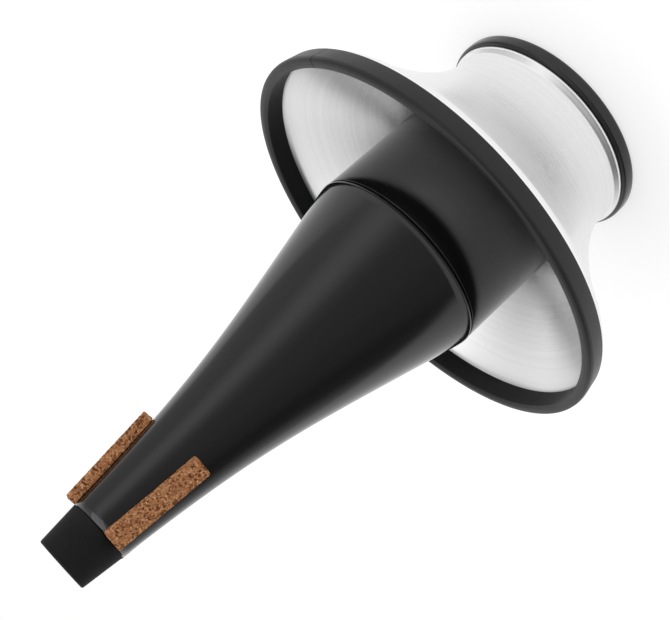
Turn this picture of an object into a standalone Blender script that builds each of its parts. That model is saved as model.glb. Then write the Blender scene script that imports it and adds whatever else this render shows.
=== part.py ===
"""Cup mute for a bass trombone: a black straight mute with a sliding aluminium cup.

Metres, +Z up. The mute stands on its base ring, with the small end at the top
and the origin under the middle of the ring.
"""
import math

import bmesh
import bpy
from mathutils import Matrix, Vector

COLLECTION = "bass_trombone_cup_mute"
SEGMENTS = 48
CORNER_STEPS = 4
CONE_STEPS = 12
FLARE_STEPS = 14
GAP = 0.0003

# Base ring and plate
RING_WIDTH = 0.0062
RING_HEIGHT = 0.0070
RING_EDGE = 0.0018
LEDGE_HEIGHT = 0.0022
LEDGE_WIDTH = 0.0045
PLATE_WALL = 0.0012
PLATE_UPSTAND = 0.0080
PLATE_DISH = 0.0025

# Straight tube that the cup slides on
TUBE_RADIUS = 0.0482
TUBE_WALL = 0.0012
TUBE_LENGTH = 0.1042

# Flared cone with a rolled lip at its foot
CONE_TOP_RADIUS = 0.0151
CONE_HEIGHT = 0.1805
CONE_WALL = 0.0010
CONE_FOOT_SLOPE = 0.245
CONE_TOP_SLOPE = 0.085
CONE_EASE = 0.443
LIP_ROLL = 0.0022
LIP_OVERHANG = 0.0008

# Sleeve inside the joint of tube and cone
JOINT_WALL = 0.0014
JOINT_DEPTH = 0.0120
JOINT_RISE = 0.0090

# Nose sleeve at the small end
NOSE_LENGTH = 0.0204
NOSE_TIP_WALL = 0.0019
NOSE_SPIGOT_WALL = 0.0026
NOSE_EDGE = 0.0007
NOSE_SPIGOT_LENGTH = 0.0130

# Cork pads that hold the mute in the bell
CORK_COUNT = 3
CORK_LENGTH = 0.0480
CORK_WIDTH = 0.0094
CORK_THICKNESS = 0.0050
CORK_BEARING = 7.5
CORK_EDGE = 0.0005

# Cup: foot lip, waist, flare and flange
CUP_WALL = 0.0010
WAIST_HEIGHT = 0.0065
FOOT_LIP_WIDTH = 0.0018
FOOT_LIP_HEIGHT = 0.0014
FOOT_LIP_RISE = 0.0024
FOOT_LIP_HOLLOW = 0.0002
FLANGE_RADIUS = 0.1022
FLANGE_HEIGHT = 0.0095
FLARE_HEIGHT = 0.0685
FLARE_SLOPE = 1.30
WAIST_EASE = 0.340
FLARE_EASE = 0.265
FLANGE_BEND = 0.0030

# Rubber channel on the flange
EDGING_OUTER_WALL = 0.0025
EDGING_FOOT_WALL = 0.0010
EDGING_INNER_WALL = 0.0015
EDGING_CAP = 0.0031
EDGING_TOP_WIDTH = 0.0020
EDGING_TOP_BULGE = 0.0005
EDGING_CREASE_DROP = 0.0022
EDGING_INNER_DROP = 0.0010
EDGING_OUTER_LEG = 0.0072
EDGING_SLIT = 0.0005
EDGING_SLIT_BEARING = -31.0

# Soft sleeve in the waist that grips the tube
GRIP_LENGTH = 0.0120
GRIP_WALL = 0.0013

# Radii that follow from the sizes
SLIDE_BORE = TUBE_RADIUS + GAP
TUBE_BORE = TUBE_RADIUS - TUBE_WALL
RING_RADIUS = SLIDE_BORE + RING_WIDTH
CONE_FOOT_RADIUS = TUBE_RADIUS + LIP_OVERHANG
CONE_LIP_BORE = CONE_FOOT_RADIUS - LIP_ROLL - CONE_WALL
NOSE_SPIGOT_RADIUS = CONE_TOP_RADIUS - CONE_WALL - GAP
NOSE_BORE = NOSE_SPIGOT_RADIUS - NOSE_SPIGOT_WALL
NOSE_TIP_RADIUS = NOSE_BORE + NOSE_TIP_WALL
GRIP_RADIUS = SLIDE_BORE + GRIP_WALL
WAIST_RADIUS = GRIP_RADIUS + GAP + CUP_WALL
FOOT_LIP_RADIUS = WAIST_RADIUS + FOOT_LIP_WIDTH

# Heights that follow from the sizes
TUBE_FOOT_Z = LEDGE_HEIGHT + GAP
TUBE_TOP_Z = TUBE_FOOT_Z + TUBE_LENGTH
CONE_FOOT_Z = TUBE_TOP_Z + GAP
CONE_TOP_Z = CONE_FOOT_Z + CONE_HEIGHT
NOSE_FOOT_Z = CONE_TOP_Z + GAP
NOSE_TOP_Z = NOSE_FOOT_Z + NOSE_LENGTH
CUP_FOOT_Z = RING_HEIGHT + GAP
WAIST_Z = CUP_FOOT_Z + WAIST_HEIGHT
FLANGE_FOOT_Z = WAIST_Z + FLARE_HEIGHT
FLANGE_TOP_Z = FLANGE_FOOT_Z + FLANGE_HEIGHT
GRIP_FOOT_Z = CUP_FOOT_Z + FOOT_LIP_HEIGHT + FOOT_LIP_RISE
GRIP_TOP_Z = GRIP_FOOT_Z + GRIP_LENGTH
CUP_TRAVEL = CONE_FOOT_Z - GAP - GRIP_TOP_Z


def empty_scene():
    for item in list(bpy.data.objects):
        bpy.data.objects.remove(item, do_unlink=True)


def new_collection(name):
    group = bpy.data.collections.new(name)
    bpy.context.scene.collection.children.link(group)
    return group


def new_material(name, colour, roughness, metallic):
    material = bpy.data.materials.new(name)
    material.use_nodes = True
    shader = material.node_tree.nodes["Principled BSDF"]
    shader.inputs["Base Color"].default_value = (*colour, 1.0)
    shader.inputs["Roughness"].default_value = roughness
    shader.inputs["Metallic"].default_value = metallic
    return material


def bezier(start, start_handle, end_handle, end, steps):
    """Points of a cubic curve, both ends included."""
    points = []
    for i in range(steps + 1):
        t = i / steps
        s = 1.0 - t
        points.append(start * s**3 + start_handle * 3 * s**2 * t
                      + end_handle * 3 * s * t**2 + end * t**3)
    return points


def arc(centre, radius, start_degrees, end_degrees, steps):
    """Points of a circular arc in the profile's plane."""
    points = []
    for i in range(steps + 1):
        angle = math.radians(start_degrees + (end_degrees - start_degrees) * i / steps)
        points.append(centre + radius * Vector((math.cos(angle), math.sin(angle))))
    return points


def fillet(before, corner, after, radius, steps):
    """A corner rounded with the given radius, as points from one tangent to the other."""
    to_before = (before - corner).normalized()
    to_after = (after - corner).normalized()
    half = to_before.angle(to_after) / 2
    reach = radius / math.tan(half)
    centre = corner + (to_before + to_after).normalized() * (radius / math.sin(half))
    first = corner + to_before * reach - centre
    last = corner + to_after * reach - centre
    turn = first.angle_signed(last)
    points = []
    for i in range(steps + 1):
        points.append(centre + Matrix.Rotation(-turn * i / steps, 2) @ first)
    return points


def wire_object(name, points, closed, group):
    """A profile in the XZ plane, x being the radius."""
    mesh = bpy.data.meshes.new(name)
    shape = bmesh.new()
    corners = [shape.verts.new((p[0], 0.0, p[1])) for p in points]
    for first, second in zip(corners, corners[1:]):
        shape.edges.new((first, second))
    if closed:
        shape.edges.new((corners[-1], corners[0]))
    shape.to_mesh(mesh)
    shape.free()
    item = bpy.data.objects.new(name, mesh)
    group.objects.link(item)
    return item


def turned(name, points, closed, group, wall=0.0):
    """Turns a profile about Z. It runs down its outer side, and a wall goes inwards."""
    item = wire_object(name, points, closed, group)
    screw = item.modifiers.new("Turn", "SCREW")
    screw.steps = SEGMENTS
    screw.render_steps = SEGMENTS
    screw.use_merge_vertices = True
    screw.merge_threshold = 0.00001
    if wall:
        shell = item.modifiers.new("Wall", "SOLIDIFY")
        shell.thickness = wall
        shell.offset = -1.0
        shell.use_even_offset = True
    return item


def set_mesh_from_modifiers(item):
    """Applies the modifiers and shades the round faces smooth."""
    graph = bpy.context.evaluated_depsgraph_get()
    mesh = bpy.data.meshes.new_from_object(item.evaluated_get(graph))
    mesh.name = item.name
    item.modifiers.clear()
    item.data = mesh
    mesh.shade_smooth()
    mesh.set_sharp_from_angle(angle=math.radians(35.0))


def box_object(name, low, high, group):
    """A box between two corners, with its scale applied."""
    mesh = bpy.data.meshes.new(name)
    shape = bmesh.new()
    bmesh.ops.create_cube(shape, size=1.0)
    bmesh.ops.scale(shape, vec=high - low, verts=shape.verts)
    bmesh.ops.translate(shape, vec=(low + high) / 2, verts=shape.verts)
    shape.to_mesh(mesh)
    shape.free()
    item = bpy.data.objects.new(name, mesh)
    group.objects.link(item)
    return item


def cut(item, cutter):
    """Takes the cutter's volume out of the item."""
    cutter.hide_render = True
    cutter.display_type = "WIRE"
    modifier = item.modifiers.new("Cut", "BOOLEAN")
    modifier.operation = "DIFFERENCE"
    modifier.solver = "EXACT"
    modifier.object = cutter


def finish(item, material):
    item.data.materials.clear()
    item.data.materials.append(material)


def cone_curve(offset=0.0, steps=CONE_STEPS):
    """The cone's outer side from top to foot, moved outwards by the offset."""
    reach = CONE_HEIGHT * CONE_EASE
    top = Vector((CONE_TOP_RADIUS, CONE_TOP_Z))
    foot = Vector((CONE_FOOT_RADIUS, CONE_FOOT_Z))
    top_handle = top + Vector((CONE_TOP_SLOPE, -1.0)) * reach
    foot_handle = foot + Vector((-CONE_FOOT_SLOPE, 1.0)) * reach
    return [p + Vector((offset, 0.0)) for p in bezier(top, top_handle, foot_handle, foot, steps)]


def cone_radius(z):
    """The cone's outer radius at a height, read along its curve."""
    side = cone_curve(steps=CONE_STEPS * 5)
    for upper, lower in zip(side, side[1:]):
        if lower.y <= z <= upper.y:
            share = (upper.y - z) / (upper.y - lower.y)
            return upper.x + (lower.x - upper.x) * share
    return side[0].x


def make_base_ring(group):
    """The ring the mute stands on. Its ledge reaches under the tube's wall."""
    ledge = TUBE_RADIUS - LEDGE_WIDTH
    outer = RING_RADIUS - RING_EDGE
    points = arc(Vector((outer, RING_HEIGHT - RING_EDGE)), RING_EDGE, 90, 0, CORNER_STEPS)
    points += arc(Vector((outer, RING_EDGE)), RING_EDGE, 0, -90, CORNER_STEPS)
    points += [Vector((ledge, 0.0)), Vector((ledge, LEDGE_HEIGHT)),
               Vector((SLIDE_BORE, LEDGE_HEIGHT)), Vector((SLIDE_BORE, RING_HEIGHT))]
    return turned("base_ring", points, True, group)


def make_base_plate(group):
    """The dished disc that closes the tube, with an upstand inside the tube's wall."""
    rim = TUBE_BORE - GAP
    inner = rim - PLATE_WALL
    floor = TUBE_FOOT_Z
    step = inner - PLATE_DISH
    points = [Vector((0.0, floor + PLATE_DISH + PLATE_WALL)),
              Vector((step - PLATE_DISH, floor + PLATE_DISH + PLATE_WALL)),
              Vector((step, floor + PLATE_WALL)),
              Vector((inner, floor + PLATE_WALL)),
              Vector((inner, floor + PLATE_UPSTAND)),
              Vector((rim, floor + PLATE_UPSTAND)),
              Vector((rim, floor)),
              Vector((step, floor)),
              Vector((step - PLATE_DISH, floor + PLATE_DISH)),
              Vector((0.0, floor + PLATE_DISH))]
    return turned("base_plate", points, False, group)


def make_body_tube(group):
    points = [Vector((TUBE_RADIUS, TUBE_TOP_Z)), Vector((TUBE_RADIUS, TUBE_FOOT_Z)),
              Vector((TUBE_BORE, TUBE_FOOT_Z)), Vector((TUBE_BORE, TUBE_TOP_Z))]
    return turned("body_tube", points, True, group)


def make_cone(group):
    """The flared cone. Its foot rolls inwards into a rounded lip that sits on the tube."""
    side = cone_curve()[:-1]
    roll_centre = Vector((CONE_FOOT_RADIUS - LIP_ROLL, CONE_FOOT_Z + LIP_ROLL))
    roll = arc(roll_centre, LIP_ROLL, 0, -90, CORNER_STEPS)
    points = [p for p in side if p.y > roll_centre.y + LIP_ROLL] + roll
    points.append(Vector((CONE_LIP_BORE, CONE_FOOT_Z)))
    return turned("cone", points, False, group, wall=CONE_WALL)


def make_joint_sleeve(group):
    """The sleeve glued inside the tube's top and the cone's lip."""
    lower = TUBE_BORE - GAP
    upper = CONE_LIP_BORE - GAP
    bore = upper - JOINT_WALL
    top = CONE_FOOT_Z + JOINT_RISE
    foot = TUBE_TOP_Z - JOINT_DEPTH
    points = [Vector((upper, top)), Vector((upper, TUBE_TOP_Z)), Vector((lower, TUBE_TOP_Z)),
              Vector((lower, foot)), Vector((bore, foot)), Vector((bore, top))]
    return turned("joint_sleeve", points, True, group)


def make_nose_sleeve(group):
    """The matt sleeve at the small end, flush with the cone, on a spigot inside it."""
    spigot_foot = NOSE_FOOT_Z - NOSE_SPIGOT_LENGTH
    tip_centre = Vector((NOSE_TIP_RADIUS - NOSE_EDGE, NOSE_TOP_Z - NOSE_EDGE))
    tip = arc(tip_centre, NOSE_EDGE, 90, 0, CORNER_STEPS)
    points = tip + [Vector((CONE_TOP_RADIUS, NOSE_FOOT_Z)),
                    Vector((NOSE_SPIGOT_RADIUS, NOSE_FOOT_Z)),
                    Vector((NOSE_SPIGOT_RADIUS, spigot_foot)),
                    Vector((NOSE_BORE, spigot_foot)), Vector((NOSE_BORE, NOSE_TOP_Z))]
    return turned("nose_sleeve", points, True, group)


def make_cork_bed(group):
    """A cutter that leaves each cork its curved back, a glue line away from the cone."""
    side = cone_curve(offset=GAP)
    points = [Vector((0.0, CONE_TOP_Z + CORK_WIDTH)),
              Vector((side[0].x, CONE_TOP_Z + CORK_WIDTH))] + side
    points.append(Vector((0.0, CONE_FOOT_Z)))
    return turned("cork_bed_cutter", points, False, group)


def make_cork_pad(index, bed, group):
    """One straight strip along the cone, with a flat outer face."""
    top_z = CONE_TOP_Z
    foot_z = top_z - CORK_LENGTH
    lean = math.atan2(cone_radius(foot_z) - cone_radius(top_z), CORK_LENGTH)
    length = CORK_LENGTH / math.cos(lean)
    depth = CORK_THICKNESS + CORK_WIDTH / 2
    low = Vector((CORK_THICKNESS - depth, -CORK_WIDTH / 2, -length))
    high = Vector((CORK_THICKNESS, CORK_WIDTH / 2, 0.0))
    pad = box_object(f"cork_pad_{index + 1}", low, high, group)
    rounding = pad.modifiers.new("Edges", "BEVEL")
    rounding.width = CORK_EDGE
    rounding.segments = 1
    seat = Matrix.Translation((cone_radius(top_z), 0.0, top_z)) @ Matrix.Rotation(-lean, 4, "Y")
    bearing = math.radians(CORK_BEARING + 360.0 * index / CORK_COUNT)
    pad.matrix_world = Matrix.Rotation(bearing, 4, "Z") @ seat
    cut(pad, bed)
    return pad


def flare_curve():
    """The flare's two ends and handles, from the flange down to the waist."""
    top = Vector((FLANGE_RADIUS, FLANGE_FOOT_Z))
    foot = Vector((WAIST_RADIUS, WAIST_Z))
    top_handle = top - Vector((FLARE_SLOPE, 1.0)) * FLARE_HEIGHT * FLARE_EASE
    foot_handle = foot + Vector((0.0, FLARE_HEIGHT * WAIST_EASE))
    return top, top_handle, foot_handle, foot


def flange_bend():
    """The rounded corner where the upright flange meets the flare."""
    corner, below, _, _ = flare_curve()
    above = Vector((FLANGE_RADIUS, FLANGE_TOP_Z))
    return fillet(above, corner, below, FLANGE_BEND, CORNER_STEPS)


def make_cup_shell(group):
    """The spun cup: flange, flare, waist and a foot lip turned out over the base ring."""
    bend = flange_bend()
    lip_top = Vector((FOOT_LIP_RADIUS, CUP_FOOT_Z + FOOT_LIP_HEIGHT))
    neck_end = Vector((WAIST_RADIUS, lip_top.y + FOOT_LIP_RISE))
    points = [Vector((FLANGE_RADIUS, FLANGE_TOP_Z))] + bend
    points += [p for p in bezier(*flare_curve(), FLARE_STEPS) if p.y < bend[-1].y - FLANGE_BEND / 2]
    points += [neck_end, (neck_end + lip_top) / 2 - Vector((FOOT_LIP_HOLLOW, FOOT_LIP_HOLLOW))]
    points += [lip_top, Vector((FOOT_LIP_RADIUS, CUP_FOOT_Z))]
    return turned("cup_shell", points, False, group, wall=CUP_WALL)


def make_rim_edging(group, cutters):
    """The rubber channel on the flange, with the butt joint of its two ends."""
    groove_outer = FLANGE_RADIUS + GAP
    groove_inner = FLANGE_RADIUS - CUP_WALL - GAP
    groove_top = FLANGE_TOP_Z + GAP
    outer = groove_outer + EDGING_OUTER_WALL
    inner = groove_inner - EDGING_INNER_WALL
    top = groove_top + EDGING_CAP
    crease = top - EDGING_CREASE_DROP
    outer_foot = groove_top - EDGING_OUTER_LEG
    inner_foot = flange_bend()[0].y + GAP
    flat_in = (inner + outer - EDGING_TOP_WIDTH) / 2
    flat_out = (inner + outer + EDGING_TOP_WIDTH) / 2
    shoulder = Vector(((flat_out + outer) / 2, (top + crease) / 2))
    points = [Vector((flat_in, top)), Vector((flat_out, top)),
              shoulder + Vector((EDGING_TOP_BULGE, EDGING_TOP_BULGE)), Vector((outer, crease)),
              Vector((groove_outer + EDGING_FOOT_WALL, outer_foot)),
              Vector((groove_outer, outer_foot)), Vector((groove_outer, groove_top)),
              Vector((groove_inner, groove_top)), Vector((groove_inner, inner_foot)),
              Vector((inner, inner_foot)), Vector((inner, top - EDGING_INNER_DROP))]
    edging = turned("rim_edging", points, True, group)
    reach = outer - inner
    low = Vector((inner - reach, -EDGING_SLIT / 2, inner_foot - reach))
    high = Vector((outer + reach, EDGING_SLIT / 2, top + reach))
    slit = box_object("edging_slit_cutter", low, high, cutters)
    slit.rotation_euler = (0.0, 0.0, math.radians(EDGING_SLIT_BEARING))
    cut(edging, slit)
    return edging


def make_grip_sleeve(group):
    """The soft sleeve between the cup's waist and the tube."""
    points = [Vector((GRIP_RADIUS, GRIP_TOP_Z)), Vector((GRIP_RADIUS, GRIP_FOOT_Z)),
              Vector((SLIDE_BORE, GRIP_FOOT_Z)), Vector((SLIDE_BORE, GRIP_TOP_Z))]
    return turned("grip_sleeve", points, True, group)


def place_under(item, parent):
    item.parent = parent
    item.matrix_parent_inverse = parent.matrix_world.inverted()


def new_axis(name, height, parent, group):
    """An empty on the mute's axis that carries what moves with it."""
    axis = bpy.data.objects.new(name, None)
    group.objects.link(axis)
    axis.location = (0.0, 0.0, height)
    if parent:
        axis.parent = parent
    return axis


def main():
    empty_scene()
    group = new_collection(COLLECTION)
    cutters = new_collection(COLLECTION + "_cutters")

    gloss_black = new_material("gloss_black_lacquer", (0.008, 0.008, 0.009), 0.16, 0.0)
    matt_black = new_material("matt_black_rubber", (0.012, 0.012, 0.012), 0.75, 0.0)
    edging_black = new_material("edging_rubber", (0.030, 0.031, 0.033), 0.55, 0.0)
    aluminium = new_material("satin_aluminium", (0.78, 0.78, 0.79), 0.30, 1.0)
    cork = new_material("granulated_cork", (0.46, 0.24, 0.11), 0.90, 0.0)
    foam = new_material("grip_foam", (0.05, 0.05, 0.05), 0.95, 0.0)

    bed = make_cork_bed(cutters)
    set_mesh_from_modifiers(bed)
    fixed = [(make_base_ring(group), gloss_black), (make_base_plate(group), gloss_black),
             (make_body_tube(group), gloss_black), (make_joint_sleeve(group), matt_black),
             (make_cone(group), gloss_black), (make_nose_sleeve(group), matt_black)]
    for index in range(CORK_COUNT):
        fixed.append((make_cork_pad(index, bed, group), cork))
    sleeve = make_grip_sleeve(group)
    cup = [(make_cup_shell(group), aluminium), (make_rim_edging(group, cutters), edging_black)]

    bpy.context.view_layer.update()
    for item, material in fixed + cup + [(sleeve, foam)]:
        set_mesh_from_modifiers(item)
        finish(item, material)

    slide_axis = new_axis("cup_slide_axis", CUP_FOOT_Z, None, group)
    turn_axis = new_axis("cup_turn_axis", 0.0, slide_axis, group)
    bpy.context.view_layer.update()
    place_under(sleeve, slide_axis)
    for item, _ in cup:
        place_under(item, turn_axis)
    print(f"cup travel {CUP_TRAVEL:.4f} m, height {NOSE_TOP_Z:.4f} m")


main()
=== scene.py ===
"""Looks of a bass trombone cup mute: a glossy black straight mute in a satin aluminium cup.

Metres, +Z up. The mute stands on its base ring with its small end at the top.
"""
import math

import bmesh
import bpy
from mathutils import Matrix, Vector, noise
from mathutils.geometry import interpolate_bezier


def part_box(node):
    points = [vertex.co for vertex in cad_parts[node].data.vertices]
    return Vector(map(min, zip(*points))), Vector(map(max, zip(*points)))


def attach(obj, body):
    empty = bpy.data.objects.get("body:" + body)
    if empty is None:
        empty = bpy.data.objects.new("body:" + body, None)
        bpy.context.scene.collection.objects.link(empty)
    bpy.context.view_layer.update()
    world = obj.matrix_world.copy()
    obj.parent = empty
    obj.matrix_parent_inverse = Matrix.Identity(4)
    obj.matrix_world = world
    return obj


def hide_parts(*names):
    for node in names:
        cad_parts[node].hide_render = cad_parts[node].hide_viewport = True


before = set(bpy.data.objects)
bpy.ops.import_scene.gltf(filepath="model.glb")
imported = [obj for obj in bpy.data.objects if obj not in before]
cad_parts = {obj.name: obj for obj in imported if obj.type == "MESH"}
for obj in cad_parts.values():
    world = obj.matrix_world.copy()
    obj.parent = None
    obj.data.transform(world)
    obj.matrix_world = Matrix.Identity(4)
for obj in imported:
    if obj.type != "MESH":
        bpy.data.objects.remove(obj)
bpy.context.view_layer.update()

# Fineness of the turned and cut pieces
TURN_STEPS = 192
CORNER_STEPS = 4
CURVE_POINTS = 49

# Cone: slopes and ease of its flared side, and its rolled lip
CONE_FOOT_SLOPE = 0.245
CONE_TOP_SLOPE = 0.085
CONE_EASE = 0.443
CONE_WALL = 0.0010
LIP_ROLL = 0.0022

# Cup: slopes and ease of the flare, flange and foot lip
CUP_WALL = 0.0010
FLANGE_HEIGHT = 0.0095
FLANGE_BEND = 0.0030
FLARE_SLOPE = 1.30
FLARE_EASE = 0.265
WAIST_EASE = 0.340
WAIST_HEIGHT = 0.0065
FOOT_LIP_WIDTH = 0.0018
FOOT_LIP_HEIGHT = 0.0014
FOOT_LIP_RISE = 0.0024
NECK_BEND = 0.0009
FOOT_LIP_BEND = 0.0006

# Rubber channel on the cup's flange
GLUE_LINE = 0.0003
EDGING_INNER_WALL = 0.0015
EDGING_SWELL = 0.0005
EDGING_FOOT_WALL = 0.0010
EDGING_CAP = 0.0031
EDGING_CREASE_DROP = 0.0022
EDGING_INNER_DROP = 0.0010
EDGING_OUTER_LEG = 0.0072
EDGING_FLAT = 0.0020
EDGING_ROUNDING = 0.0004
JOINT_BEARING = math.radians(-31.0)
JOINT_WIDTH = 0.0004

# Base ring, base plate, tube and nose sleeve
RING_EDGE = 0.0018
RING_LEDGE = 0.0022
RING_BORE = 0.0485
RING_LEDGE_REACH = 0.0048
PLATE_WALL = 0.0012
PLATE_DISH = 0.0025
TUBE_WALL = 0.0012
SHEET_EDGE = 0.0003
NOSE_BORE = 0.0112
NOSE_TIP_RADIUS = 0.0131
NOSE_SPIGOT_RADIUS = 0.0138
NOSE_EDGE = 0.0007
JOINT_SLEEVE_STEP_Z = 0.1067
JOINT_SLEEVE_STEP = 0.0012
JOINT_SLEEVE_DEPTH = 0.0026

# Cork strips, by bearing round the mute
CORK_BEARINGS = (7.5, 127.5, 247.5)
CORK_WIDTH = 0.0094
CORK_LENGTH = 0.0480
CORK_THICKNESS = 0.0050
CORK_CUTS = (10, 30, 130)
CORK_RELIEF = 0.00022
CORK_GRAIN_SIZE = 0.0016
CORK_EDGE = 0.0005
CORK_BACK = 0.0003
CORK_BED_DEPTH = 0.0006

# The photograph's camera
CAMERA_PLACE = (0.0026, -0.5224, 0.3160)
CAMERA_TILT = 71.82
CAMERA_ROLL = -132.0
CAMERA_LENS = 64.48


def radius_of(node):
    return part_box(node)[1].x


def foot_of(node):
    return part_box(node)[0].z


def top_of(node):
    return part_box(node)[1].z


def curve(start, start_handle, end_handle, end):
    """Points of a Bezier side, from start to end."""
    corners = [Vector((p[0], 0.0, p[1])) for p in (start, start_handle, end_handle, end)]
    return [(p.x, p.z) for p in interpolate_bezier(*corners, CURVE_POINTS)]


def cone_side():
    """The cone's outer side from its top to its foot."""
    top = Vector((radius_of("nose_sleeve"), top_of("cone")))
    foot = Vector((radius_of("cone"), foot_of("cone")))
    reach = (top.y - foot.y) * CONE_EASE
    top_handle = top + Vector((CONE_TOP_SLOPE, -1.0)) * reach
    foot_handle = foot + Vector((-CONE_FOOT_SLOPE, 1.0)) * reach
    return curve(top, top_handle, foot_handle, foot)


CONE_SIDE = cone_side()


def cone_radius(height):
    """The cone's outer radius at a height."""
    side = CONE_SIDE
    for (upper_r, upper_z), (lower_r, lower_z) in zip(side, side[1:]):
        if lower_z <= height <= upper_z:
            share = (upper_z - height) / (upper_z - lower_z)
            return upper_r + (lower_r - upper_r) * share
    return side[0][0]


def new_piece(name, shape):
    """Turns a finished bmesh into an object with smooth faces and sharp corners."""
    mesh = bpy.data.meshes.new(name)
    shape.to_mesh(mesh)
    shape.free()
    mesh.shade_smooth()
    mesh.set_sharp_from_angle(angle=math.radians(40.0))
    piece = bpy.data.objects.new(name, mesh)
    bpy.context.scene.collection.objects.link(piece)
    return piece


def profile(points, rounded=(), closed=True):
    """A wire profile of (radius, height) points. rounded lists (index, radius) of its corners."""
    shape = bmesh.new()
    corners = [shape.verts.new((r, 0.0, z)) for r, z in points]
    for first, second in zip(corners, corners[1:]):
        shape.edges.new((first, second))
    if closed:
        shape.edges.new((corners[-1], corners[0]))
    by_radius = {}
    for index, radius in rounded:
        by_radius.setdefault(radius, []).append(corners[index])
    for radius, group in by_radius.items():
        bmesh.ops.bevel(shape, geom=group, offset=radius, offset_type="OFFSET",
                        segments=CORNER_STEPS, profile=0.5, affect="VERTICES",
                        material=-1, clamp_overlap=True)
    return shape


def spun(name, shape, wall=0.0, start=0.0, angle=math.tau):
    """Spins a profile round the mute's axis. A wall is given inwards by a Solidify modifier."""
    whole = angle == math.tau
    turn = Matrix.Rotation(start, 3, "Z")
    bmesh.ops.rotate(shape, cent=(0, 0, 0), matrix=turn, verts=shape.verts)
    bmesh.ops.spin(shape, geom=shape.verts[:] + shape.edges[:], cent=(0, 0, 0), axis=(0, 0, 1),
                   angle=angle, steps=TURN_STEPS, use_merge=whole, use_duplicate=False)
    bmesh.ops.remove_doubles(shape, verts=shape.verts, dist=0.000005)
    if not whole:
        open_edges = [e for e in shape.edges if e.is_boundary]
        bmesh.ops.holes_fill(shape, edges=open_edges, sides=0)
    bmesh.ops.recalc_face_normals(shape, faces=shape.faces)
    piece = new_piece(name, shape)
    if wall:
        shell = piece.modifiers.new("Wall", "SOLIDIFY")
        shell.thickness = wall
        shell.offset = -1.0
        shell.use_even_offset = True
    return piece


def make_base_ring():
    outer, ledge = radius_of("base_ring"), RING_BORE - RING_LEDGE_REACH
    foot, top = foot_of("base_ring"), top_of("base_ring")
    points = [(outer, top), (outer, foot), (ledge, foot), (ledge, foot + RING_LEDGE),
              (RING_BORE, foot + RING_LEDGE), (RING_BORE, top)]
    rounded = [(0, RING_EDGE), (1, RING_EDGE), (2, SHEET_EDGE), (3, SHEET_EDGE), (5, SHEET_EDGE)]
    return spun("glossy_base_ring", profile(points, rounded))


def make_base_plate():
    """The dished disc with its pressed step and upstand."""
    rim, floor, top = radius_of("base_plate"), foot_of("base_plate"), top_of("base_plate")
    inner = rim - PLATE_WALL
    step = inner - PLATE_DISH
    raised = floor + PLATE_DISH
    points = [(0.0, raised + PLATE_WALL), (step - PLATE_DISH, raised + PLATE_WALL),
              (step, floor + PLATE_WALL), (inner, floor + PLATE_WALL), (inner, top), (rim, top),
              (rim, floor), (step, floor), (step - PLATE_DISH, raised), (0.0, raised)]
    bend = PLATE_WALL / 2
    rounded = [(1, bend), (2, bend), (3, bend), (4, SHEET_EDGE), (5, SHEET_EDGE), (6, bend),
               (7, bend), (8, bend)]
    return spun("dished_base_plate", profile(points, rounded, closed=False))


def make_body_tube():
    outer, foot, top = radius_of("body_tube"), foot_of("body_tube"), top_of("body_tube")
    inner = outer - TUBE_WALL
    points = [(outer, top), (outer, foot), (inner, foot), (inner, top)]
    return spun("lacquered_tube", profile(points, [(i, SHEET_EDGE) for i in range(4)]))


def make_joint_sleeve():
    lower, foot, top = radius_of("joint_sleeve"), foot_of("joint_sleeve"), top_of("joint_sleeve")
    upper, bore = lower - JOINT_SLEEVE_STEP, lower - JOINT_SLEEVE_DEPTH
    points = [(upper, top), (upper, JOINT_SLEEVE_STEP_Z), (lower, JOINT_SLEEVE_STEP_Z),
              (lower, foot), (bore, foot), (bore, top)]
    return spun("inner_joint_sleeve", profile(points, [(i, SHEET_EDGE) for i in (0, 2, 3, 4, 5)]))


def make_cone():
    """The flared cone with its foot rolled in to the tube."""
    lip, foot = radius_of("cone"), foot_of("cone")
    side = [p for p in cone_side() if p[1] > foot + LIP_ROLL * 1.6]
    points = side + [(lip, foot), (lip - LIP_ROLL - CONE_WALL, foot)]
    shape = profile(points, [(len(side), LIP_ROLL)], closed=False)
    return spun("spun_cone", shape, wall=CONE_WALL)


def make_nose_sleeve():
    """The matt sleeve at the small end, with its spigot inside the cone."""
    outer, foot, tip = radius_of("nose_sleeve"), foot_of("nose_sleeve"), top_of("nose_sleeve")
    shoulder = top_of("cone") + GLUE_LINE
    points = [(NOSE_TIP_RADIUS, tip), (outer, shoulder), (NOSE_SPIGOT_RADIUS, shoulder),
              (NOSE_SPIGOT_RADIUS, foot), (NOSE_BORE, foot), (NOSE_BORE, tip)]
    rounded = [(0, NOSE_EDGE), (1, SHEET_EDGE), (3, SHEET_EDGE), (4, SHEET_EDGE), (5, NOSE_EDGE)]
    return spun("matt_nose_sleeve", profile(points, rounded))


def make_grip_sleeve():
    outer, foot, top = radius_of("grip_sleeve"), foot_of("grip_sleeve"), top_of("grip_sleeve")
    bore = RING_BORE
    points = [(outer, top), (outer, foot), (bore, foot), (bore, top)]
    return spun("soft_grip_sleeve", profile(points, [(i, SHEET_EDGE) for i in range(4)]))


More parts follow.
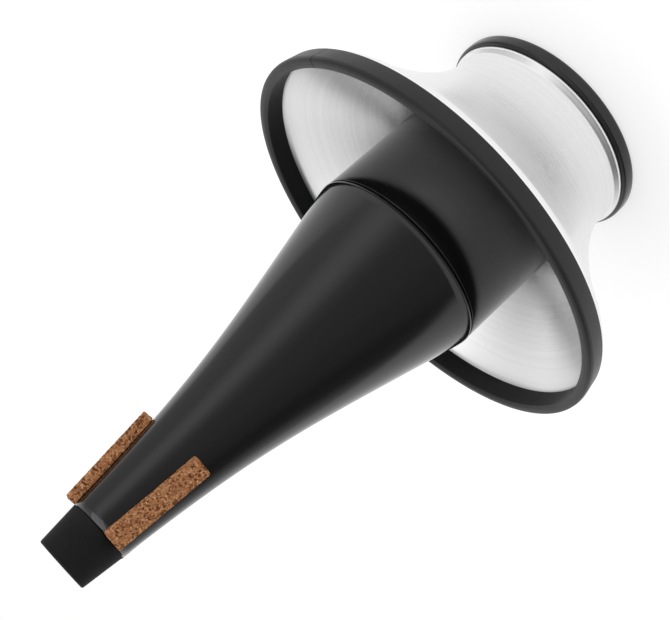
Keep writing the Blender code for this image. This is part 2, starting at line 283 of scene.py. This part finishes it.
def make_cup_shell():
    """The spun cup: upright flange, flare, waist and the foot lip turned out over the base ring."""
    foot, top = foot_of("cup_shell"), top_of("cup_shell")
    flange = radius_of("cup_shell")
    waist = radius_of("grip_sleeve") + GLUE_LINE + CUP_WALL
    waist_z = foot + WAIST_HEIGHT
    flange_z = top - FLANGE_HEIGHT
    height = flange_z - waist_z
    corner = Vector((flange, flange_z))
    handle = corner - Vector((FLARE_SLOPE, 1.0)) * height * FLARE_EASE
    waist_handle = (waist, waist_z + height * WAIST_EASE)
    flare = curve(corner, handle, waist_handle, (waist, waist_z))
    flare = [p for p in flare if p[1] < flange_z - FLANGE_BEND * 1.3]
    lip = waist + FOOT_LIP_WIDTH
    lip_z = foot + FOOT_LIP_HEIGHT
    points = [(flange, top), (flange, flange_z)] + flare
    points += [(waist, lip_z + FOOT_LIP_RISE), (lip, lip_z), (lip, foot)]
    last = len(points) - 1
    rounded = [(1, FLANGE_BEND), (last - 2, NECK_BEND), (last - 1, FOOT_LIP_BEND)]
    return spun("satin_cup_shell", profile(points, rounded, closed=False), wall=CUP_WALL)


def make_rim_edging():
    """The rubber channel on the flange. Its two ends meet in a butt joint."""
    flange, flange_top = radius_of("cup_shell"), top_of("cup_shell")
    outer, top = radius_of("rim_edging"), top_of("rim_edging")
    groove_outer = flange + GLUE_LINE
    groove_inner = flange - CUP_WALL - GLUE_LINE
    groove_top = flange_top + GLUE_LINE
    inner = groove_inner - EDGING_INNER_WALL
    crease = top - EDGING_CREASE_DROP
    middle = (inner + outer) / 2
    flat_in, flat_out = middle - EDGING_FLAT / 2, middle + EDGING_FLAT / 2
    points = [(flat_in, top), (flat_out, top),
              ((flat_out + outer) / 2 + EDGING_SWELL, (top + crease) / 2 + EDGING_SWELL),
              (outer, crease),
              (groove_outer + EDGING_FOOT_WALL, groove_top - EDGING_OUTER_LEG),
              (groove_outer, groove_top - EDGING_OUTER_LEG), (groove_outer, groove_top),
              (groove_inner, groove_top), (groove_inner, foot_of("rim_edging")),
              (inner, foot_of("rim_edging")), (inner, top - EDGING_INNER_DROP)]
    rounded = [(i, EDGING_ROUNDING) for i in (0, 1, 2, 3, 9, 10)] + [(4, SHEET_EDGE), (5, SHEET_EDGE)]
    half_gap = JOINT_WIDTH / 2 / outer
    return spun("rubber_rim_edging", profile(points, rounded), start=JOINT_BEARING + half_gap,
                angle=math.tau - 2 * half_gap)


def make_cork_pad(index):
    """One pressed cork strip, cut flat outside, with the relief of its granules."""
    top_z = top_of("cone")
    foot_z = top_z - CORK_LENGTH
    lean = math.atan2(cone_radius(foot_z) - cone_radius(top_z), CORK_LENGTH)
    length = CORK_LENGTH / math.cos(lean)
    shape = bmesh.new()
    bmesh.ops.create_cube(shape, size=1.0)
    bmesh.ops.scale(shape, vec=(CORK_THICKNESS, CORK_WIDTH, length), verts=shape.verts)
    bmesh.ops.translate(shape, vec=(CORK_THICKNESS / 2, 0.0, -length / 2), verts=shape.verts)
    bmesh.ops.bevel(shape, geom=shape.edges[:], offset=CORK_EDGE, offset_type="OFFSET", segments=2,
                    profile=0.5, affect="EDGES", material=-1)
    for axis, cuts in zip((Vector((1, 0, 0)), Vector((0, 1, 0)), Vector((0, 0, 1))), CORK_CUTS):
        low = min(v.co.dot(axis) for v in shape.verts)
        high = max(v.co.dot(axis) for v in shape.verts)
        for step in range(1, cuts):
            place = axis * (low + (high - low) * step / cuts)
            geometry = shape.verts[:] + shape.edges[:] + shape.faces[:]
            bmesh.ops.bisect_plane(shape, geom=geometry, plane_co=place, plane_no=axis)
    shape.normal_update()
    for vert in shape.verts:
        grain = noise.noise(vert.co / CORK_GRAIN_SIZE * 2.0 + Vector((index * 7.0, 0.0, 0.0)))
        if vert.co.x > CORK_BACK:
            vert.co -= vert.normal * CORK_RELIEF * max(0.0, grain + 0.15)
    seat = Matrix.Translation((cone_radius(top_z), 0.0, top_z)) @ Matrix.Rotation(-lean, 4, "Y")
    turn = Matrix.Rotation(math.radians(CORK_BEARINGS[index]), 4, "Z")
    shape.transform(turn @ seat)
    bearing = turn @ Vector((1, 0, 0))
    for vert in shape.verts:
        bed = cone_radius(vert.co.z) + GLUE_LINE
        side = bearing.cross(Vector((0, 0, 1))).dot(vert.co)
        reach = math.sqrt(max(bed * bed - side * side, 0.0))
        along = vert.co.dot(bearing)
        if along < reach + CORK_BED_DEPTH:
            vert.co += bearing * (reach - along)
    bmesh.ops.remove_doubles(shape, verts=shape.verts, dist=0.00001)
    bmesh.ops.recalc_face_normals(shape, faces=shape.faces)
    return new_piece(f"cork_strip_{index + 1}", shape)


class Socket:
    """One output of a node, so that shader maths reads as an expression."""

    def __init__(self, finish, link):
        self.finish = finish
        self.link = link

    def maths(self, operation, first, second):
        return self.finish.node("ShaderNodeMath", {"operation": operation}, {0: first, 1: second})

    def __add__(self, other):
        return self.maths("ADD", self, other)

    def __radd__(self, other):
        return self.maths("ADD", other, self)

    def __mul__(self, other):
        return self.maths("MULTIPLY", self, other)

    def __rmul__(self, other):
        return self.maths("MULTIPLY", other, self)


class Finish:
    """A node tree that is built from its nodes' types, settings and sockets."""

    def __init__(self, tree):
        self.tree = tree
        self.tree.nodes.clear()

    def node(self, kind, settings=None, sockets=None, output=0):
        made = self.tree.nodes.new(kind)
        for name, value in (settings or {}).items():
            if name == "stops":
                self.set_stops(made.color_ramp, value)
            else:
                setattr(made, name, value)
        for key, value in (sockets or {}).items():
            socket = made.inputs[key]
            if isinstance(value, Socket):
                self.tree.links.new(value.link, socket)
            else:
                socket.default_value = value
        return Socket(self, made.outputs[output]) if len(made.outputs) else made

    def set_stops(self, ramp, stops):
        while len(ramp.elements) < len(stops):
            ramp.elements.new(0.5)
        for element, (place, colour) in zip(ramp.elements, stops):
            element.position = place
            element.color = colour if len(colour) == 4 else (*colour, 1.0)

    def place(self):
        return self.node("ShaderNodeTexCoord", output="Object")

    def noise(self, scale, detail=3.0, vector=None, roughness=0.5):
        sockets = {"Vector": vector or self.place(), "Scale": scale, "Detail": detail,
                   "Roughness": roughness}
        return self.node("ShaderNodeTexNoise", {}, sockets)

    def span(self, value, low, high, to_low, to_high):
        sockets = {"Value": value, "From Min": low, "From Max": high, "To Min": to_low,
                   "To Max": to_high}
        return self.node("ShaderNodeMapRange", {"clamp": True}, sockets)

    def ramp(self, value, stops):
        return self.node("ShaderNodeValToRGB", {"stops": stops}, {"Fac": value})

    def mix(self, share, first, second):
        return self.node("ShaderNodeMix", {"data_type": "RGBA"}, {0: share, 6: first, 7: second},
                         output=2)

    def bump(self, height, distance, strength=1.0, normal=None):
        sockets = {"Height": height, "Distance": distance, "Strength": strength}
        if normal:
            sockets["Normal"] = normal
        return self.node("ShaderNodeBump", {}, sockets)

    def radius(self):
        """Distance from the mute's axis, in metres."""
        flat = self.node("ShaderNodeVectorMath", {"operation": "MULTIPLY"},
                         {0: self.place(), 1: (1.0, 1.0, 0.0)})
        return self.node("ShaderNodeVectorMath", {"operation": "LENGTH"}, {0: flat}, output="Value")

    def height(self):
        return self.node("ShaderNodeSeparateXYZ", {}, {"Vector": self.place()}, output="Z")

    def lathe_lines(self, pitch, detail=2.0):
        """Fine circles left by turning, which follow radius and height together."""
        along = self.height() + self.radius() * 0.9
        return self.node("ShaderNodeTexNoise", {"noise_dimensions": "1D"},
                         {"W": along, "Scale": 1.0 / pitch, "Detail": detail, "Roughness": 0.6})

    def surface(self, **sockets):
        named = {key.replace("_", " "): value for key, value in sockets.items()}
        shader = self.node("ShaderNodeBsdfPrincipled", {}, named)
        self.node("ShaderNodeOutputMaterial", {}, {"Surface": shader})


def new_finish(name):
    material = bpy.data.materials.new(name)
    material.use_nodes = True
    return material, Finish(material.node_tree)


def black_lacquer():
    """Glossy black lacquer over spun aluminium: faint turning rings, orange peel and dust."""
    material, f = new_finish("glossy_black_lacquer")
    rings = f.lathe_lines(0.0011)
    peel = f.noise(420.0, 2.0)
    haze = f.noise(26.0, 4.0)
    dust = f.span(f.noise(1900.0, 1.0), 0.72, 0.80, 0.0, 1.0)
    colour = f.mix(dust * 0.5, (0.0052, 0.0052, 0.0058, 1.0), (0.060, 0.060, 0.062, 1.0))
    rough = f.span(haze, 0.3, 0.7, 0.08, 0.12) + rings * 0.02
    relief = f.bump(peel, 0.00001, 0.25, f.bump(rings, 0.000008, 0.3))
    f.surface(Base_Color=colour, Roughness=rough, Normal=relief, IOR=1.5)
    return material


def ring_gloss():
    """The base ring's moulded black gloss, with handling marks."""
    material, f = new_finish("moulded_black_gloss")
    marks = f.noise(70.0, 5.0)
    grain = f.noise(900.0, 2.0)
    colour = f.mix(f.span(marks, 0.45, 0.75, 0.0, 1.0),
                   (0.006, 0.006, 0.0065, 1.0), (0.012, 0.012, 0.013, 1.0))
    f.surface(Base_Color=colour, Roughness=f.span(marks, 0.3, 0.7, 0.14, 0.24),
              Normal=f.bump(grain, 0.00002, 0.3), IOR=1.5)
    return material


def matt_nose():
    """The matt black of the nose sleeve, almost without sheen."""
    material, f = new_finish("matt_black_nose")
    grain = f.noise(1500.0, 4.0)
    rubbed = f.noise(60.0, 3.0)
    colour = f.mix(f.span(rubbed, 0.35, 0.75, 0.0, 1.0),
                   (0.0016, 0.0016, 0.0017, 1.0), (0.0045, 0.0045, 0.0048, 1.0))
    f.surface(Base_Color=colour, Roughness=f.span(grain, 0.3, 0.7, 0.72, 0.86),
              Normal=f.bump(grain, 0.00006, 0.5), IOR=1.35)
    return material


def joint_plastic():
    material, f = new_finish("matt_joint_plastic")
    grain = f.noise(800.0, 3.0)
    colour = f.mix(grain, (0.020, 0.020, 0.020, 1.0), (0.034, 0.034, 0.034, 1.0))
    f.surface(Base_Color=colour, Roughness=f.span(grain, 0.3, 0.7, 0.55, 0.72),
              Normal=f.bump(f.lathe_lines(0.0008), 0.00003, 0.4))
    return material


def edging_rubber():
    """Dark satin rubber: fine grain, extrusion lines along the channel and a dusty bloom."""
    material, f = new_finish("satin_edging_rubber")
    grain = f.noise(1300.0, 3.0)
    lines = f.lathe_lines(0.00045, 1.0)
    bloom = f.noise(34.0, 4.0)
    colour = f.mix(f.span(bloom, 0.35, 0.7, 0.0, 1.0),
                   (0.0050, 0.0052, 0.0056, 1.0), (0.0095, 0.0099, 0.0105, 1.0))
    relief = f.bump(grain, 0.00004, 0.45, f.bump(lines, 0.00003, 0.35))
    f.surface(Base_Color=colour, Roughness=f.span(grain + bloom, 0.7, 1.3, 0.36, 0.50), Normal=relief,
              IOR=1.38)
    return material


def grip_foam():
    material, f = new_finish("closed_cell_foam")
    cells = f.node("ShaderNodeTexVoronoi", {"feature": "F1"}, {"Vector": f.place(), "Scale": 1100.0})
    colour = f.mix(cells, (0.018, 0.018, 0.018, 1.0), (0.060, 0.060, 0.062, 1.0))
    f.surface(Base_Color=colour, Roughness=f.span(cells, 0.0, 0.8, 0.95, 0.8),
              Normal=f.bump(cells, 0.0001, 0.7))
    return material


def pressed_cork():
    """Pressed cork: granules of many browns, dark bark grains and crevices between them."""
    material, f = new_finish("pressed_cork")
    warp = f.noise(900.0, 2.0)
    grains = {"Vector": f.place(), "Scale": 1150.0}
    tint = f.node("ShaderNodeTexVoronoi", {"feature": "F1"}, grains, output="Color")
    edge = f.node("ShaderNodeTexVoronoi", {"feature": "DISTANCE_TO_EDGE"}, grains)
    pick = f.node("ShaderNodeSeparateColor", {}, {"Color": tint}, output="Red")
    browns = f.ramp(pick, [(0.0, (0.080, 0.028, 0.010)), (0.13, (0.200, 0.072, 0.026)),
                           (0.35, (0.385, 0.160, 0.063)), (0.65, (0.490, 0.215, 0.088)),
                           (0.88, (0.580, 0.280, 0.125)), (1.0, (0.690, 0.390, 0.200))])
    flecks = f.span(f.noise(2600.0, 3.0), 0.62, 0.72, 0.0, 1.0)
    specks = f.mix(flecks * 0.55, browns, (0.070, 0.026, 0.012, 1.0))
    crevice = f.span(edge, 0.0, 0.10, 0.40, 0.0)
    colour = f.mix(crevice, specks, (0.110, 0.040, 0.018, 1.0))
    worn = f.mix(f.span(f.noise(120.0, 3.0), 0.4, 0.8, 0.0, 0.25), colour, (0.30, 0.13, 0.06, 1.0))
    relief = f.bump(f.span(edge, 0.0, 0.25, 0.0, 1.0) + warp * 0.5, 0.00022, 0.8)
    f.surface(Base_Color=worn, Roughness=f.span(pick, 0.0, 1.0, 0.95, 0.78), Normal=relief, IOR=1.3)
    return material


def satin_aluminium():
    """Spun aluminium with satin turning lines and faint smudges."""
    material, f = new_finish("satin_spun_aluminium")
    fine = f.lathe_lines(0.00022, 3.0)
    wide = f.lathe_lines(0.0035, 2.0)
    smudge = f.noise(38.0, 4.0)
    tone = f.span(fine + wide * 0.6 + smudge * 0.3, 0.7, 1.25, 0.0, 1.0)
    colour = f.mix(tone, (0.80, 0.80, 0.805, 1.0), (0.90, 0.90, 0.905, 1.0))
    rough = f.span(fine + smudge, 0.7, 1.3, 0.25, 0.36)
    relief = f.bump(fine, 0.000012, 0.5, f.bump(wide, 0.00003, 0.3))
    f.surface(Base_Color=colour, Metallic=1.0, Roughness=rough, Normal=relief)
    return material


def studio_light(name, place, size, power, target=(0.0, 0.0, 0.12)):
    """A soft rectangular lamp turned towards the mute."""
    lamp = bpy.data.lights.new(name, "AREA")
    lamp.shape = "RECTANGLE"
    lamp.size, lamp.size_y = size
    lamp.energy = power
    holder = bpy.data.objects.new(name, lamp)
    holder.location = place
    holder.rotation_euler = (Vector(target) - Vector(place)).to_track_quat("-Z", "Y").to_euler()
    bpy.context.scene.collection.objects.link(holder)


# Brightness round the studio, by bearing from the camera towards +X in degrees
ROOM = ((-180, 1.0), (-145, 1.0), (-112, 0.62), (-89, 0.14), (-70, 0.11), (-52, 0.24),
        (-37, 0.27), (-21, 0.34), (0, 0.38), (10, 0.40), (23, 0.57), (36, 1.0), (44, 1.18),
        (52, 1.15), (71, 0.72), (90, 0.65), (114, 0.55), (140, 1.0), (180, 1.0))
OVERHEAD = 1.05
BACKDROP = 1.0


def light_room():
    """A pale studio whose walls differ round the mute, with a bright ceiling."""
    world = bpy.data.worlds.new("pale_studio")
    world.use_nodes = True
    bpy.context.scene.world = world
    f = Finish(world.node_tree)
    way = f.node("ShaderNodeTexCoord", output="Generated")
    x = f.node("ShaderNodeSeparateXYZ", {}, {"Vector": way}, output="X")
    y = f.node("ShaderNodeSeparateXYZ", {}, {"Vector": way}, output="Y")
    z = f.node("ShaderNodeSeparateXYZ", {}, {"Vector": way}, output="Z")
    bearing = x.maths("ARCTAN2", x, y * -1.0)
    share = bearing * (0.5 / math.pi) + 0.5
    stops = [((angle + 180.0) / 360.0, (level, level, level)) for angle, level in ROOM]
    walls = f.ramp(share, stops)
    above = f.span(z, 0.55, 0.85, 0.0, 1.0)
    room = f.mix(above, walls, (OVERHEAD, OVERHEAD, OVERHEAD, 1.0))
    seen = f.node("ShaderNodeLightPath", output="Is Camera Ray")
    shown = f.mix(seen, room, (BACKDROP, BACKDROP, BACKDROP, 1.0))
    glow = f.node("ShaderNodeBackground", {}, {"Color": shown, "Strength": 1.0})
    f.node("ShaderNodeOutputWorld", {}, {"Surface": glow})


def make_floor():
    """A pale floor that glows a little, so that only a soft shadow shows on it."""
    shape = bmesh.new()
    bmesh.ops.create_grid(shape, x_segments=1, y_segments=1, size=6.0)
    bmesh.ops.translate(shape, vec=(0, 0, -0.0003), verts=shape.verts)
    floor = new_piece("pale_floor", shape)
    material, f = new_finish("pale_paper")
    fibre = f.noise(300.0, 3.0)
    colour = f.mix(fibre, (0.40, 0.40, 0.40, 1.0), (0.42, 0.42, 0.42, 1.0))
    f.surface(Base_Color=colour, Roughness=1.0, Emission_Color=(1.0, 1.0, 1.0, 1.0),
              Emission_Strength=0.68)
    floor.data.materials.append(material)


def place_camera():
    lens = bpy.data.cameras.new("camera")
    lens.lens = CAMERA_LENS
    lens.sensor_width = 36.0
    lens.sensor_fit = "HORIZONTAL"
    lens.clip_start = 0.01
    camera = bpy.data.objects.new("camera", lens)
    tilt = Matrix.Rotation(math.radians(CAMERA_TILT), 4, "X")
    roll = Matrix.Rotation(math.radians(CAMERA_ROLL), 4, "Z")
    camera.matrix_world = Matrix.Translation(CAMERA_PLACE) @ tilt @ roll
    bpy.context.scene.collection.objects.link(camera)
    bpy.context.scene.camera = camera


def dress(piece, node, body, material):
    """Puts the finished piece in the place of its CAD node."""
    piece.data.materials.append(material)
    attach(piece, body)
    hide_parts(node)


def main():
    lacquer = black_lacquer()
    dress(make_base_ring(), "base_ring", "mute_body", ring_gloss())
    dress(make_base_plate(), "base_plate", "mute_body", lacquer)
    dress(make_body_tube(), "body_tube", "mute_body", lacquer)
    dress(make_joint_sleeve(), "joint_sleeve", "mute_body", joint_plastic())
    dress(make_cone(), "cone", "mute_body", lacquer)
    dress(make_nose_sleeve(), "nose_sleeve", "mute_body", matt_nose())
    cork = pressed_cork()
    for index in range(len(CORK_BEARINGS)):
        dress(make_cork_pad(index), f"cork_pad_{index + 1}", "mute_body", cork)
    dress(make_grip_sleeve(), "grip_sleeve", "grip", grip_foam())
    dress(make_cup_shell(), "cup_shell", "cup", satin_aluminium())
    dress(make_rim_edging(), "rim_edging", "cup", edging_rubber())

    light_room()
    studio_light("soft_top_lamp", (0.3, -0.3, 1.3), (0.9, 0.9), 3.0)
    make_floor()
    place_camera()
    bpy.context.scene.view_settings.view_transform = "Standard"


main()
